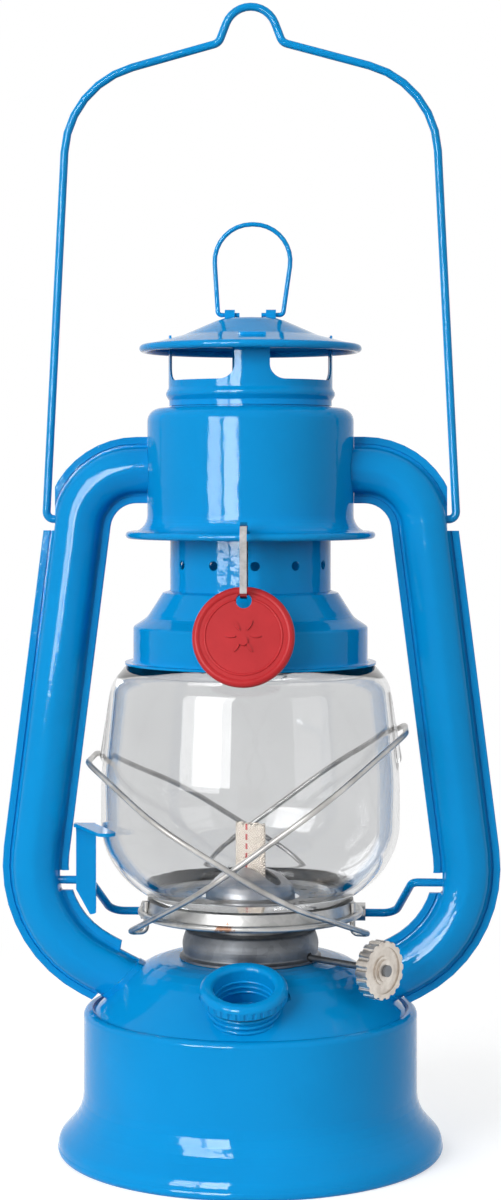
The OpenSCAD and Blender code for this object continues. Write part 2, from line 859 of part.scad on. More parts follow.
// Outer face of the tube at the bail's pivot, and inner face at the lift wire's pivot
bail_wall_x = upper_x + sqrt(pow(upper_bend_r + body_half, 2) - pow(bail_pivot_rise, 2));
lift_z = skirt_z + lift_rise;
lift_wall_x = lower_x + sqrt(pow(lower_bend_r - body_half, 2) - pow(lift_z - lower_z, 2));
pin_play = 0.05;
pin_slack = 0.1;

module half_shell(hem) {
    difference() {
        shell_sheet(hem);
        // Flange cut back where the bail's leg passes
        translate([bail_wall_x + 0.15, -shell_depth, bail_z - 3.4])
            cube([tube_w, 2 * shell_depth, 18]);
        pin_x(bail_wall_x - 3, bail_wall_x + 3, 0, bail_z, bail_d - pin_slack + 2 * pin_play);
        translate([lift_wall_x - tube_w - 0.15, -shell_depth, lift_z - 3])
            cube([tube_w, 2 * shell_depth, 6]);
        pin_x(lift_wall_x - 3, lift_wall_x + 3, 0, lift_z, lift_d - pin_slack + 2 * pin_play);
    }
}

// How far the socket reaches up the tube's axis
socket_reach = 12;

module tube_socket() {
    difference() {
        rotate([90, 0, 0])
            tube_straight([tube_foot, dome_at(tube_foot)] - socket_reach * foot_dir,
                end_dir, socket_reach + 8)
                tube_outline(sheet_t + seam_gap);
        under_dome(-sheet_t / 2);
        above_socket();
    }
}

// Everything higher than the socket's rim over the dome
module above_socket() {
    difference() {
        translate([0, 0, tank_h - 4])
            cylinder(r = tank_r + 20, h = 60);
        under_dome(socket_h);
    }
}

// Room for the tube's foot, and its air way through the dome
module tube_mouth() {
    rotate([90, 0, 0]) {
        tube_straight([tube_foot, dome_at(tube_foot)] - (socket_reach + cut) * foot_dir,
            end_dir, socket_reach + 20)
            tube_outline(-sheet_t - 0.4);
    }
    difference() {
        rotate([90, 0, 0])
            tube_straight([tube_foot, dome_at(tube_foot)] - (socket_reach + cut) * foot_dir,
                end_dir, socket_reach + 20)
                tube_outline(seam_gap);
        under_dome(0);
    }
}

module left_tube_front() {
    color(blue)
        mirror([1, 0, 0])
            half_shell(hem_t);
}

module left_tube_rear() {
    color(blue)
        rotate([0, 0, 180])
            half_shell(sheet_t + 0.1);
}

module right_tube_front() {
    color(blue)
        half_shell(hem_t);
}

module right_tube_rear() {
    color(blue)
        mirror([0, 1, 0])
            half_shell(sheet_t + 0.1);
}

// Hood

hood_bead_d = 2.2;
hood_fillet = 5;
ring_hole_r = hood_flange_d / 2 - 3.4;

module hood() {
    rim_x = hood_flange_d / 2 - hood_bead_d / 2;
    rim_z = hood_z - hood_bead_d / 2 + 0.2;
    color(blue)
        difference() {
            rotate_extrude() {
                polygon(sheet(rounded([
                    [[rim_x, hood_z], 0],
                    [[hood_r, hood_z], hood_fillet],
                    [[hood_r, hood_top_z], 4],
                    [[chimney_d / 2 + run_gap, hood_top_z], 0]]), sheet_t));
                translate([rim_x, rim_z])
                    circle(d = hood_bead_d);
            }
            both_sides()
                rotate([90, 0, 0])
                    tube_straight([hood_r - 6, tube_z], 0, 12)
                        tube_outline(-sheet_t - 0.4);
            translate([0, -ring_hole_r, hood_z - 4])
                cylinder(d = ring_wire_w + 1, h = 9);
        }
}

// Globe and its plate

globe_corners = [
    [[globe_foot_r, globe_z], 0],
    [[globe_foot_r + 10, globe_z + 6.6], 25],
    [[globe_r, globe_z + 17.4], 22],
    [[globe_r, globe_z + 37.4], 100],
    [[globe_r - 2.9, globe_z + 64.6], 8],
    [[globe_top_r, globe_top_z], 0]];
globe_path = rounded(globe_corners);
globe_bore = beside(
    concat([globe_path[0] - [0, cut]], globe_path, [globe_path[len(globe_path) - 1] + [0, cut]]), glass_t);
lug_z = globe_z + 44;
lug_h = 6;
plate_bead_d = 1.9;
seat_r = globe_foot_r - glass_t / 2;
// The plate's rolled rim passes over the lift wire at the inner end of each ear
ear_x = sqrt(pow(plate_r - plate_bead_d / 2, 2) - pow(lift_back + 0.5, 2));
ear_l = 6;
lift_bar_z = lift_z - lift_drop;
throw_r = norm([lift_back, lift_drop]);
throw_angle = atan2(lift_drop, lift_back);
bar_far_y = throw_r * cos(throw_angle - lever_angle);
globe_travel = lift_drop - throw_r * sin(throw_angle - lever_angle);
ear_slack = 0.4;
ear_t = 0.8;

module globe() {
    lug_r = 2.4;
    color(glass_clear) {
        difference() {
            union() {
                rotate_extrude()
                    polygon(concat(globe_path, [[0, globe_top_z], [0, globe_z]]));
                both_sides()
                    translate([globe_r - lug_r, 0, lug_z - lug_h / 2])
                        cylinder(r = lug_r + 1.2, h = lug_h);
            }
            rotate_extrude()
                intersection() {
                    polygon(concat([[0, globe_z - cut]], globe_bore, [[0, globe_top_z + cut]]));
                    translate([0, globe_z - cut])
                        square([2 * globe_r, globe_h + 2 * cut]);
                }
        }
    }
}

// Slotted sleeve that holds the lift wire's cross bar
module plate_ear(grow) {
    y0 = lift_back - lift_d / 2 - ear_slack - grow;
    y1 = bar_far_y + lift_d / 2 + ear_slack + grow;
    h = lift_d + 2 * ear_slack + 2 * grow;
    translate([ear_x - (grow > 0 ? 0 : cut), 0, lift_bar_z])
        rotate([90, 0, 90])
            linear_extrude(height = ear_l + (grow > 0 ? 0 : 2 * cut)) {
                translate([y0 + h / 2, -h / 2])
                    square([y1 - y0 - h, h]);
                for (y = [y0 + h / 2, y1 - h / 2])
                    translate([y, 0])
                        circle(d = h);
            }
}

// Places of the guard wires' hooked ends in the plate
guard_front_a = -14.6;
guard_rear_a = 50;
guard_front = (plate_r - 2.1) * [cos(guard_front_a), sin(guard_front_a)];
guard_rear = (plate_r - 2.3) * [cos(guard_rear_a), sin(guard_rear_a)];

module globe_plate() {
    rim_x = plate_r - plate_bead_d / 2;
    color(steel)
        difference() {
            union() {
                rotate_extrude() {
                    polygon(sheet(rounded([
                        [[rim_x, plate_z + plate_bead_d / 2 - 0.2], 0],
                        [[rim_x - 1.4, plate_z + plate_bead_d / 2 - 0.2], 0],
                        [[seat_r + 2.8, globe_z], 0],
                        [[seat_r - 1.6, globe_z], 0],
                        [[seat_r - 2.4, globe_z + 0.8], 0],
                        [[seat_r - 3.6, globe_z + 0.8], 0],
                        [[seat_r - 4.6, globe_z - 0.6], 0],
                        [[plate_hole_d / 2, globe_z - 0.6], 0]]), plate_t));
                    translate([rim_x, plate_z])
                        circle(d = plate_bead_d);
                }
                both_sides()
                    plate_ear(ear_t);
            }
            both_sides() {
                plate_ear(0);
                for (p = [guard_front, guard_rear])
                    translate([p[0], p[1], plate_z - 3])
                        cylinder(d = guard_d + 2 * run_gap, h = plate_rise + 6);
            }
            for (i = [0:15])
                rotate((i + 0.5) * 360 / 16)
                    translate([plate_hole_d / 2 + 4.3, 0, globe_z - 4])
                        cylinder(d = 2.4, h = 6);
        }
}

// Hairpin of guard wire that starts at the plate's left, rounds the globe and bends at its right
module guard_wire(reach, rise, off) {
    under_z = plate_z - 5.2;
    tip_z = plate_z + plate_rise;
    wide = globe_r + off;
    front = (plate_r + 3.3) * [-cos(guard_front_a), sin(guard_front_a)];
    rear = (plate_r + 3.4) * [-cos(guard_rear_a), sin(guard_rear_a)];
    slope = (rise - under_z) / (reach - front[0]);
    near_x = -0.267 * globe_r;
    far_x = 0.534 * globe_r;
    side_y = 0.312 * globe_r;
    long_r = 0.58 * globe_r;
    short_r = 0.267 * globe_r;
    near_z = under_z + (near_x - front[0]) * slope;
    far_z = under_z + (far_x - front[0]) * slope;
    swept(rounded([
        [[-guard_front[0], guard_front[1], tip_z], 0],
        [[-guard_front[0], guard_front[1], under_z], 1.6],
        [[front[0], front[1], under_z], 1.6],
        [[near_x, -wide, near_z], long_r],
        [[far_x, -wide - 0.4, far_z], long_r],
        [[reach, -side_y, rise], short_r],
        [[reach, side_y, rise], short_r],
        [[far_x, wide + 0.4, far_z], long_r],
        [[near_x, wide, near_z], long_r],
        [[rear[0], rear[1], under_z], 1.6],
        [[-guard_rear[0], guard_rear[1], under_z], 1.6],
        [[-guard_rear[0], guard_rear[1], tip_z], 0]]), guard_d);
}

module guard_wire_right() {
    color(steel)
        guard_wire(globe_r + 1.7, globe_z + 51, guard_off - 0.8);
}

module guard_wire_left() {
    color(steel)
        mirror([1, 0, 0])
            guard_wire(globe_r + 2.9, globe_z + 42, guard_off + 1.3);
}

// Lift wire and its lever

module lift_wire() {
    crank_x = lift_wall_x - crank_in;
    bar_x = crank_x - 5;
    pin_end = lift_wall_x + 2.4;
    pin_start = lift_wall_x - 2;
    half = [
        [[pin_start, 0, lift_z], 0],
        [[crank_x, 0, lift_z], 2.2],
        [[bar_x, lift_back, lift_bar_z], 5]];
    left_half = [for (c = backward(half)) [[-c[0][0], c[0][1], c[0][2]], c[1]]];
    color(blue) {
        swept(rounded(concat(half, left_half)), lift_d);
        both_sides()
            pin_x(pin_start - cut, pin_end, 0, lift_z, lift_d - pin_slack);
    }
}

lever_x = globe_r + 7.6;
lever_y = -lift_d / 2 - 0.1;

module lift_lever() {
    sleeve_l = 2.2;
    bend_r = 4;
    tab_turn = 24;
    low = -10;
    face = rounded([
        [[lever_y, low - 1], 0],
        [[lever_y, lever_rise], bend_r],
        [[lever_y - bend_r - 3, lever_rise], 0]]);
    color(blue)
        translate([0, 0, lift_z])
            difference() {
                union() {
                    // Strap with a rounded lower end
                    intersection() {
                        translate([-lever_x, 0, 0])
                            rotate([90, 0, 90])
                                linear_extrude(height = lever_w)
                                    polygon(sheet(face, lever_t));
                        translate([-lever_x - cut, 20, 0])
                            rotate([90, 0, 0])
                                linear_extrude(height = 40)
                                    polygon(rounded([
                                        [[0, lever_rise + 1], 0],
                                        [[0, low], 2.4],
                                        [[lever_w + 2 * cut, low], 2.4],
                                        [[lever_w + 2 * cut, lever_rise + 1], 0]]));
                    }
                    translate([-lever_x, 0, 0])
                        rotate([0, 90, 0])
                            cylinder(d = lift_d + 2 * lever_t, h = sleeve_l);
                    translate([lever_w / 2 - lever_x, lever_y - bend_r - 1, lever_rise - lever_t])
                        rotate([0, 0, tab_turn])
                            linear_extrude(height = lever_t) {
                                translate([-lever_w / 2 + 0.2, -tab_l + lever_w / 2 + bend_r])
                                    square([lever_w - 0.4, tab_l - lever_w / 2 - bend_r]);
                                translate([0, -tab_l + lever_w / 2 + bend_r])
                                    circle(d = lever_w - 0.4);
                            }
                }
                pin_x(-lever_x - cut, -lever_x + lever_w + cut, 0, 0, lift_d + 2 * seam_gap);
                // Corner that would meet the tube's flange
                translate([-lever_x, -10, 0])
                    rotate([90, 0, 0])
                        mirror([0, 0, 1])
                            linear_extrude(height = 20)
                                polygon([[-cut, -2.5], [0, -2.5], [4.2, -10],
                                    [4.2, -10 - cut], [-cut, -10 - cut]]);
            }
}

// Chimney, spring and cap

chimney_r = chimney_d / 2;
seat_z = hood_z + 4;
seat_t = 0.8;
spring_r = (chimney_r + hood_r - sheet_t) / 2;
crown_r = chimney_r - sheet_t - seam_gap;

module globe_collar() {
    color(blue)
        turned_sheet([
            [[collar_flange_r, globe_top_z + sheet_t], 0],
            [[collar_r, globe_top_z + sheet_t], 0.9],
            [[collar_r, collar_top_z], 1.2],
            [[collar_r - (collar_r - chimney_r) * 0.38, collar_top_z + collar_cone_h * 0.26], 5],
            [[chimney_r + 2.2, cone_top_z - 0.6], 0],
            [[chimney_r + 4 * seam_gap, cone_top_z], 0]], sheet_t);
}

module chimney_tube() {
    low = collar_top_z + 6;
    high = hood_top_z + 0.4;
    hole_z = hood_z - 9.6;
    color(blue)
        difference() {
            translate([0, 0, low])
                cylinder(r = chimney_r, h = high - low);
            translate([0, 0, low - cut])
                cylinder(r = chimney_r - sheet_t, h = high - low + 2 * cut);
            for (i = [0:air_holes - 1])
                rotate((i + 0.2) * 360 / air_holes)
                    translate([0, 4 - chimney_r, hole_z])
                        rotate([90, 0, 0])
                            cylinder(d = air_hole_d, h = 8);
        }
}

module spring_seat() {
    color(steel)
        rotate_extrude()
            polygon(sheet(rounded([
                [[hood_r - sheet_t - 1.2, seat_z + 1.6], 0],
                [[hood_r - sheet_t - 1.2, seat_z], 0],
                [[chimney_r + seam_gap, seat_z], 0]]), -seat_t));
}

// Helix of the spring's middle line
spring_low = seat_z + seat_t + seam_gap + spring_d / 2;
spring_high = hood_top_z - sheet_t - seam_gap - spring_d / 2;
rings_per_turn = 8;
spring_rings = spring_turns * rings_per_turn;
spring_path = [for (i = [0:spring_rings])
    let (a = i * 360 / rings_per_turn)
    [spring_r * cos(a), spring_r * sin(a), spring_low + (spring_high - spring_low) * i / spring_rings]];
spring_gap = min([for (i = [0:len(spring_path) - 1], j = [i + rings_per_turn / 2:1:len(spring_path) - 1])
    norm(spring_path[i] - spring_path[j])]) - spring_d;
echo(spring_gap_mm = spring_gap);

module chimney_spring() {
    color(steel)
        swept(spring_path, spring_d, 6);
}

crown_top_r = chimney_r + 0.5;
// How far a tab is narrower than its leg, on each side
tab_in = 1.2;
// Height of the cap's sheet over the crown's legs, and of the tabs that pass through it
crown_seat = 2.2;
crown_tab = 3.8;

module crown() {
    plug_z = hood_top_z - 9;
    ring_z = hood_top_z + crown_ring_h;
    gap = 90 - crown_leg_w / crown_top_r * 180 / PI;
    tab_half = crown_leg_w / 2 - tab_in;
    color(blue)
        difference() {
            turned_sheet([
                [[crown_r, plug_z], 0],
                [[crown_r, hood_top_z + 0.5], 0],
                [[chimney_r + 0.3, hood_top_z + 0.6], 0],
                [[chimney_r + 0.3, hood_top_z + 2.2], 0.8],
                [[chimney_r + 1.5, hood_top_z + 4.1], 1.4],
                [[crown_top_r, hood_top_z + 6], 1.2],
                [[crown_top_r, crown_top_z + crown_tab], 0]], sheet_t);
            for (i = [0:3])
                rotate(i * 90 + crown_turn + 45)
                    crown_window(gap, ring_z);
            for (i = [0:3])
                rotate(i * 90 + crown_turn - 90)
                    for (s = [-1, 1])
                        translate([chimney_r - 6, s * (tab_half + 3) - 3, crown_top_z + crown_seat])
                            cube([10, 6, crown_tab + cut]);
        }
}

// Window between two legs of the crown, with rounded lower corners
module crown_window(gap, ring_z) {
    half_w = crown_top_r * sin(gap / 2);
    corner = 4.2;
    rotate([90, 0, 90])
        linear_extrude(height = chimney_d) {
            translate([-half_w, ring_z + corner])
                square([2 * half_w, crown_h + crown_tab]);
            translate([-half_w + corner, ring_z])
                square([2 * half_w - 2 * corner, corner + cut]);
            for (s = [-1, 1])
                translate([s * (half_w - corner), ring_z + corner])
                    circle(r = corner);
        }
}

cap_bead_d = 2.4;
loop_z = crown_top_z + cap_h + loop_d / 2 + 0.3;
strap_x = 6.2;
strap_l = 3;

module chimney_cap() {
    rim_x = cap_d / 2 - cap_bead_d / 2;
    slot_half = crown_leg_w / 2 - tab_in + seam_gap;
    color(blue)
        difference() {
            union() {
                rotate_extrude() {
                    polygon(sheet(rounded([
                        [[rim_x, crown_top_z + cap_bead_d / 2 - 0.2], 0],
                        [[chimney_r - 3.7, crown_top_z + 4], 7],
                        [[8.5, crown_top_z + cap_h], 10],
                        [[0, crown_top_z + cap_h], 0]]), sheet_t));
                    translate([rim_x, crown_top_z])
                        circle(d = cap_bead_d);
                }
                both_sides()
                    loop_strap();
            }
            for (i = [0:3])
                rotate(i * 90 + crown_turn - 90)
                    translate([crown_top_r - 2 * sheet_t, -slot_half, crown_top_z - 2])
                        cube([2 * sheet_t + 2 * seam_gap, 2 * slot_half, 10]);
            pin_x(-loop_foot_w / 2, loop_foot_w / 2, 0, loop_z, loop_d - pin_slack + 2 * pin_play);
        }
}

// Strap on the cap that holds one end of the finger loop
module loop_strap() {
    w = loop_d + 1.8;
    low = crown_top_z + cap_h - 2.4;
    difference() {
        translate([strap_x - strap_l / 2, 0, 0])
            rotate([90, 0, 90])
                linear_extrude(height = strap_l) {
                    translate([0, loop_z])
                        circle(d = w);
                    translate([-w / 2, low])
                        square([w, loop_z - low]);
                }
    }
}

module finger_loop() {
    tip_x = strap_x - strap_l / 2 - 1.4;
    foot_x = loop_foot_w / 2;
    pin_out = strap_x + strap_l / 2 + 0.5;
    top_z = loop_z + loop_h - loop_d / 2;
    lean = 1.1;
    color(blue) {
        swept(rounded([
            [[-pin_out, 0, loop_z], 0],
            [[-foot_x, 0, loop_z], 1.2],
            [[lean - loop_w / 2 - 0.9, 0, top_z], loop_w / 2 - 0.6],
            [[lean + loop_w / 2 + 0.9, 0, top_z], loop_w / 2 - 0.6],
            [[foot_x, 0, loop_z], 1.2],
            [[pin_out, 0, loop_z], 0]]), loop_d);
        both_sides()
            pin_x(tip_x, pin_out + 0.4, 0, loop_z, loop_d - pin_slack);
    }
}

// Bail

module bail() {
    leg_x = bail_wall_x + 2.9;
    pin_start = bail_wall_x - 2.2;
    pin_out = bail_wall_x + 0.3;
    shoulder_x = bail_shoulder_w / 2;
    bump_x = 9.6;
    bump_z = bail_h - 11.5;
    peak_r = 7.9;
    half = [
        [[pin_out, 0, 0], 0],
        [[leg_x, 0, 0], 2.2],
        [[shoulder_x, 0, bail_shoulder_h], 28],
        [[bump_x, 0, bump_z], 3]];
    // The peak's corner lies where its rounded top is bail_h high
    peak_z = bump_z + bump_x * tan(69);
    left_half = [for (c = half) [[-c[0][0], c[0][1], c[0][2]], c[1]]];
    color(blue)
        translate([0, 0, bail_z]) {
            swept(rounded(concat(left_half, [[[0, 0, peak_z], peak_r]], backward(half))), bail_d);
            both_sides()
                pin_x(pin_start, pin_out + 0.4, 0, 0, bail_d - pin_slack);
        }
}

// Tag on its split ring

ring_top_z = hood_z + 3.6;
ring_y = -ring_hole_r + ring_wire_t / 2 - ring_w / 2;
ring_low_z = ring_top_z - ring_l;
tag_hole_d = 4.6;
tag_hole_in = 4.2;

// Outline of the ring's loop
module ring_outline(grow) {
    r = ring_w / 2 + grow;
    for (z = [ring_low_z + ring_w / 2, ring_top_z - ring_w / 2])
        translate([ring_y, z])
            circle(r = r);
    translate([ring_y - r, ring_low_z + ring_w / 2])
        square([2 * r, ring_l - ring_w]);
}

module tag_ring() {
    color("#c9c9c9")
        rotate([90, 0, 90])
            translate([0, 0, -ring_wire_w / 2])
                linear_extrude(height = ring_wire_w)
                    difference() {
                        ring_outline(0);
                        ring_outline(-ring_wire_t);
                    }
}

// The tag hangs with the upper edge of its hole just above the ring
tag_hole_z = ring_low_z + ring_wire_t + 0.5 + run_gap - tag_hole_d / 2;

module tag() {
    disc_t = tag_t - 0.7;
    hole_at = tag_d / 2 - tag_hole_in;
    color(red)
        translate([0, ring_y, tag_hole_z])
            rotate([-tag_lean, 0, 0])
                translate([0, 0, -hole_at])
                    rotate([90, 0, 0])
                        difference() {
                            union() {
                                translate([0, 0, -disc_t / 2])
                                    cylinder(d = tag_d - 1, h = disc_t);
                                rotate_extrude()
                                    translate([tag_d / 2 - tag_t / 2, 0])
                                        circle(d = tag_t);
                                tag_motif(disc_t / 2);
                            }
                            translate([0, hole_at, -tag_t])
                                cylinder(d = tag_hole_d, h = 2 * tag_t);
                        }
}

// Plain raised ring and rosette on the tag's face
module tag_motif(z) {
    translate([0, 0, z - 0.2])
        rotate_extrude()
            translate([tag_d / 2 - 3.6, 0])
                circle(d = 0.9);
    for (i = [0:5])
        rotate(i * 60)
            translate([3.6, -1.4, z - 0.2])
                linear_extrude(height = 0.7)
                    intersection() {
                        translate([0, -1.6])
                            circle(r = 3.4);
                        translate([0, 4.4])
                            circle(r = 3.4);
                    }
    translate([0, -1.4, z - 0.2])
        cylinder(d = 2.6, h = 0.9);
}

tank_body();
tank_bottom();
tank_deck();
tank_dome();
filler_neck();
filler_gasket();
filler_cap();
burner_collar();
burner_skirt();
burner_cone();
wick_tube();
shaft_bracket();
wick_shaft();
wick_wheels();
wick_knob();
wick();
left_tube_front();
left_tube_rear();
right_tube_front();
right_tube_rear();
hood();
globe_plate();
globe();
guard_wire_left();
guard_wire_right();
lift_wire();
lift_lever();
globe_collar();
chimney_tube();
spring_seat();
chimney_spring();
crown();
chimney_cap();
finger_loop();
bail();
tag_ring();
tag();
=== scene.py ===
"""Looks of the kerosene lamp: materials, wick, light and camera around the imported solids."""

from math import atan2, cos, exp, hypot, pi, radians, sin, tan

import bpy
import bmesh
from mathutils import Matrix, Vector


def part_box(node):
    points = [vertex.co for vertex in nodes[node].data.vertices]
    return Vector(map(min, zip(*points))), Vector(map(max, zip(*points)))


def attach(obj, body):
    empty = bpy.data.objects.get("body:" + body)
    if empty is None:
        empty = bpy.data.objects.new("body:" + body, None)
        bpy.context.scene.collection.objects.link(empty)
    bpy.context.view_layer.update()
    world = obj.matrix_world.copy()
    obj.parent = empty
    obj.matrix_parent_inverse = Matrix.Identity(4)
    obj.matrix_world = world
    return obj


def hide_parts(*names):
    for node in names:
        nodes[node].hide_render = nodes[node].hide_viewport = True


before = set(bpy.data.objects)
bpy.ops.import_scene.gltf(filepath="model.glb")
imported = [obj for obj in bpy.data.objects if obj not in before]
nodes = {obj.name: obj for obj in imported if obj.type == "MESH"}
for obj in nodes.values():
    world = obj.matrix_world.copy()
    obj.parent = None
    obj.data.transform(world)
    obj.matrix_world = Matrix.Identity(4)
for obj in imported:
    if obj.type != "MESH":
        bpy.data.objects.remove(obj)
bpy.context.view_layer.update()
scene = bpy.context.scene

# Camera, in metres, degrees and pixels of the photograph's frame
CAMERA_DISTANCE = 0.753
CAMERA_HEIGHT = 0.2015
CAMERA_TURN = 2.8
HORIZON_PIXELS = 122
FOCAL_PIXELS = 2500
IMAGE_HEIGHT = 1200
SENSOR_SIZE = 36.0

# Pieces made here, in metres and degrees
GLASS_THICK = 0.0017
GLASS_STEPS = 160
NUB_HEIGHT = 0.044
WICK_WIDE = 0.0116
WICK_THICK = 0.0019
WICK_TURN = -40
SHARP_EDGE = 38

# Stage, in metres, and the strength of its fill light
FLOOR_REACH = 6.0
SHADOW_INNER = 0.1
SHADOW_OUTER = 0.34
AIM_HEIGHT = 0.16
FILL_LIGHT = 0.42


# Node helpers

def start_material(name):
    """New material with its tree and its main shader."""
    mat = bpy.data.materials.new(name)
    mat.use_nodes = True
    tree = mat.node_tree
    return mat, tree, tree.nodes["Principled BSDF"]


def add(tree, kind, **values):
    """New node with its properties and the values of its inputs."""
    node = tree.nodes.new(kind)
    for key, value in values.items():
        if key in node.inputs:
            node.inputs[key].default_value = value
        else:
            setattr(node, key, value)
    return node


def place(tree):
    """Output that gives the position on the object."""
    return add(tree, "ShaderNodeTexCoord").outputs["Object"]


def noise(tree, scale, detail=3.0, rough=0.5):
    """Soft random pattern with a feature size of about 1 / scale metres."""
    node = add(tree, "ShaderNodeTexNoise", Scale=scale, Detail=detail, Roughness=rough)
    tree.links.new(place(tree), node.inputs["Vector"])
    return node.outputs["Fac"]


def ramp(tree, source, stops):
    """Colours or greys along a pattern, as (position, colour) stops."""
    node = add(tree, "ShaderNodeValToRGB")
    elements = node.color_ramp.elements
    while len(elements) < len(stops):
        elements.new(0.5)
    for element, (position, colour) in zip(elements, stops):
        element.position = position
        element.color = (*colour, 1.0)
    tree.links.new(source, node.inputs["Fac"])
    return node.outputs["Color"]


def spread(tree, source, low, high):
    """Pattern from 0..1 moved to low..high."""
    node = add(tree, "ShaderNodeMapRange")
    node.inputs["To Min"].default_value = low
    node.inputs["To Max"].default_value = high
    tree.links.new(source, node.inputs["Value"])
    return node.outputs["Result"]


def relief(tree, shader, source, height, strength):
    """Bump of a pattern, with its height in metres."""
    node = add(tree, "ShaderNodeBump", Strength=strength, Distance=height)
    tree.links.new(source, node.inputs["Height"])
    tree.links.new(node.outputs["Normal"], shader.inputs["Normal"])


def mix(tree, factor, a, b):
    """Colour a where factor is 0 and b where it is 1."""
    node = add(tree, "ShaderNodeMix", data_type="RGBA")
    for socket, value in ((node.inputs[0], factor), (node.inputs[6], a), (node.inputs[7], b)):
        if isinstance(value, bpy.types.NodeSocket):
            tree.links.new(value, socket)
        else:
            socket.default_value = (*value, 1.0)
    return node.outputs[2]


def maths(tree, operation, a, b=0.0):
    """One arithmetic step on sockets or numbers."""
    node = add(tree, "ShaderNodeMath", operation=operation)
    for socket, value in zip(node.inputs, (a, b)):
        if isinstance(value, bpy.types.NodeSocket):
            tree.links.new(value, socket)
        else:
            socket.default_value = value
    return node.outputs[0]


# Materials

def enamel():
    """Glossy blue stove enamel with a slight flow in its surface."""
    mat, tree, shader = start_material("blue_enamel")
    cloud = noise(tree, 26, 4)
    colour = ramp(tree, cloud, [(0.3, (0.001, 0.222, 0.53)), (0.7, (0.0015, 0.25, 0.59))])
    tree.links.new(colour, shader.inputs["Base Color"])
    tree.links.new(spread(tree, noise(tree, 160, 5), 0.03, 0.07), shader.inputs["Roughness"])
    shader.inputs["Specular IOR Level"].default_value = 0.09
    shader.inputs["Specular Tint"].default_value = (0.82, 0.95, 1.0, 1.0)
    relief(tree, shader, noise(tree, 280, 3), 0.00011, 0.8)
    return mat


def galvanised(name, light, dark, rough, rust_at=None):
    """Zinc-coated steel with its spangle and, where asked, rust round one point."""
    mat, tree, shader = start_material(name)
    cells = add(tree, "ShaderNodeTexVoronoi", Scale=420.0)
    tree.links.new(place(tree), cells.inputs["Vector"])
    colour = ramp(tree, cells.outputs["Color"], [(0.0, dark), (1.0, light)])
    stain = noise(tree, 70, 6, 0.65)
    colour = mix(tree, spread(tree, stain, -0.5, 0.9), colour, tuple(0.72 * c for c in dark))
    if rust_at:
        gap = add(tree, "ShaderNodeVectorMath", operation="DISTANCE")
        tree.links.new(place(tree), gap.inputs[0])
        gap.inputs[1].default_value = rust_at
        near = maths(tree, "SUBTRACT", 1.0, maths(tree, "DIVIDE", gap.outputs["Value"], 0.006))
        spots = maths(tree, "ADD", noise(tree, 900, 5, 0.7), maths(tree, "MULTIPLY", near, 0.4))
        mask = ramp(tree, spots, [(0.72, (0, 0, 0)), (0.8, (0.85, 0.85, 0.85))])
        colour = mix(tree, mask, colour, (0.2, 0.075, 0.025))
    tree.links.new(colour, shader.inputs["Base Color"])
    shader.inputs["Metallic"].default_value = 1.0
    worn = spread(tree, noise(tree, 300, 4), rough - 0.08, rough + 0.1)
    tree.links.new(worn, shader.inputs["Roughness"])
    relief(tree, shader, noise(tree, 700, 3), 0.00005, 0.6)
    return mat


def wire_steel():
    """Drawn bright wire with fine surface bumps and dull patches."""
    mat, tree, shader = start_material("bright_wire")
    patch = noise(tree, 90, 5, 0.6)
    tree.links.new(ramp(tree, patch, [(0.35, (0.34, 0.33, 0.32)), (0.65, (0.58, 0.57, 0.55))]),
                   shader.inputs["Base Color"])
    shader.inputs["Metallic"].default_value = 1.0
    tree.links.new(spread(tree, noise(tree, 500, 4), 0.28, 0.46), shader.inputs["Roughness"])
    relief(tree, shader, noise(tree, 900, 2), 0.00004, 0.5)
    return mat


def zinc():
    """Die-cast knob metal, warm grey with a worn sheen."""
    mat, tree, shader = start_material("cast_zinc")
    cloud = noise(tree, 240, 5, 0.6)
    tree.links.new(ramp(tree, cloud, [(0.3, (0.5, 0.45, 0.4)), (0.7, (0.74, 0.69, 0.63))]),
                   shader.inputs["Base Color"])
    shader.inputs["Metallic"].default_value = 1.0
    tree.links.new(spread(tree, noise(tree, 600, 4), 0.22, 0.42), shader.inputs["Roughness"])
    relief(tree, shader, noise(tree, 800, 4), 0.00008, 0.7)
    return mat


def chrome():
    """Polished ring with faint wear."""
    mat, tree, shader = start_material("polished_chrome")
    wear = noise(tree, 300, 5, 0.6)
    tree.links.new(ramp(tree, wear, [(0.3, (0.42, 0.42, 0.42)), (0.7, (0.6, 0.6, 0.6))]),
                   shader.inputs["Base Color"])
    shader.inputs["Metallic"].default_value = 1.0
    tree.links.new(spread(tree, wear, 0.05, 0.16), shader.inputs["Roughness"])
    return mat


def clear_glass():
    """Clear lamp glass with a faint waviness."""
    mat, tree, shader = start_material("clear_glass")
    shader.inputs["Transmission Weight"].default_value = 1.0
    shader.inputs["IOR"].default_value = 1.47
    shader.inputs["Roughness"].default_value = 0.0
    tint = ramp(tree, noise(tree, 30, 2), [(0.3, (0.745, 0.75, 0.755)), (0.7, (0.79, 0.795, 0.8))])
    tree.links.new(tint, shader.inputs["Base Color"])
    shader.inputs["Specular IOR Level"].default_value = 0.4
    relief(tree, shader, noise(tree, 34, 1), 0.0004, 0.12)
    # Light passes straight through to what stands inside
    path = add(tree, "ShaderNodeLightPath")
    through = add(tree, "ShaderNodeBsdfTransparent")
    through.inputs["Color"].default_value = (0.86, 0.87, 0.88, 1.0)
    blend = add(tree, "ShaderNodeMixShader")
    tree.links.new(path.outputs["Is Shadow Ray"], blend.inputs[0])
    tree.links.new(shader.outputs[0], blend.inputs[1])
    tree.links.new(through.outputs[0], blend.inputs[2])
    tree.links.new(blend.outputs[0], tree.nodes["Material Output"].inputs["Surface"])
    return mat


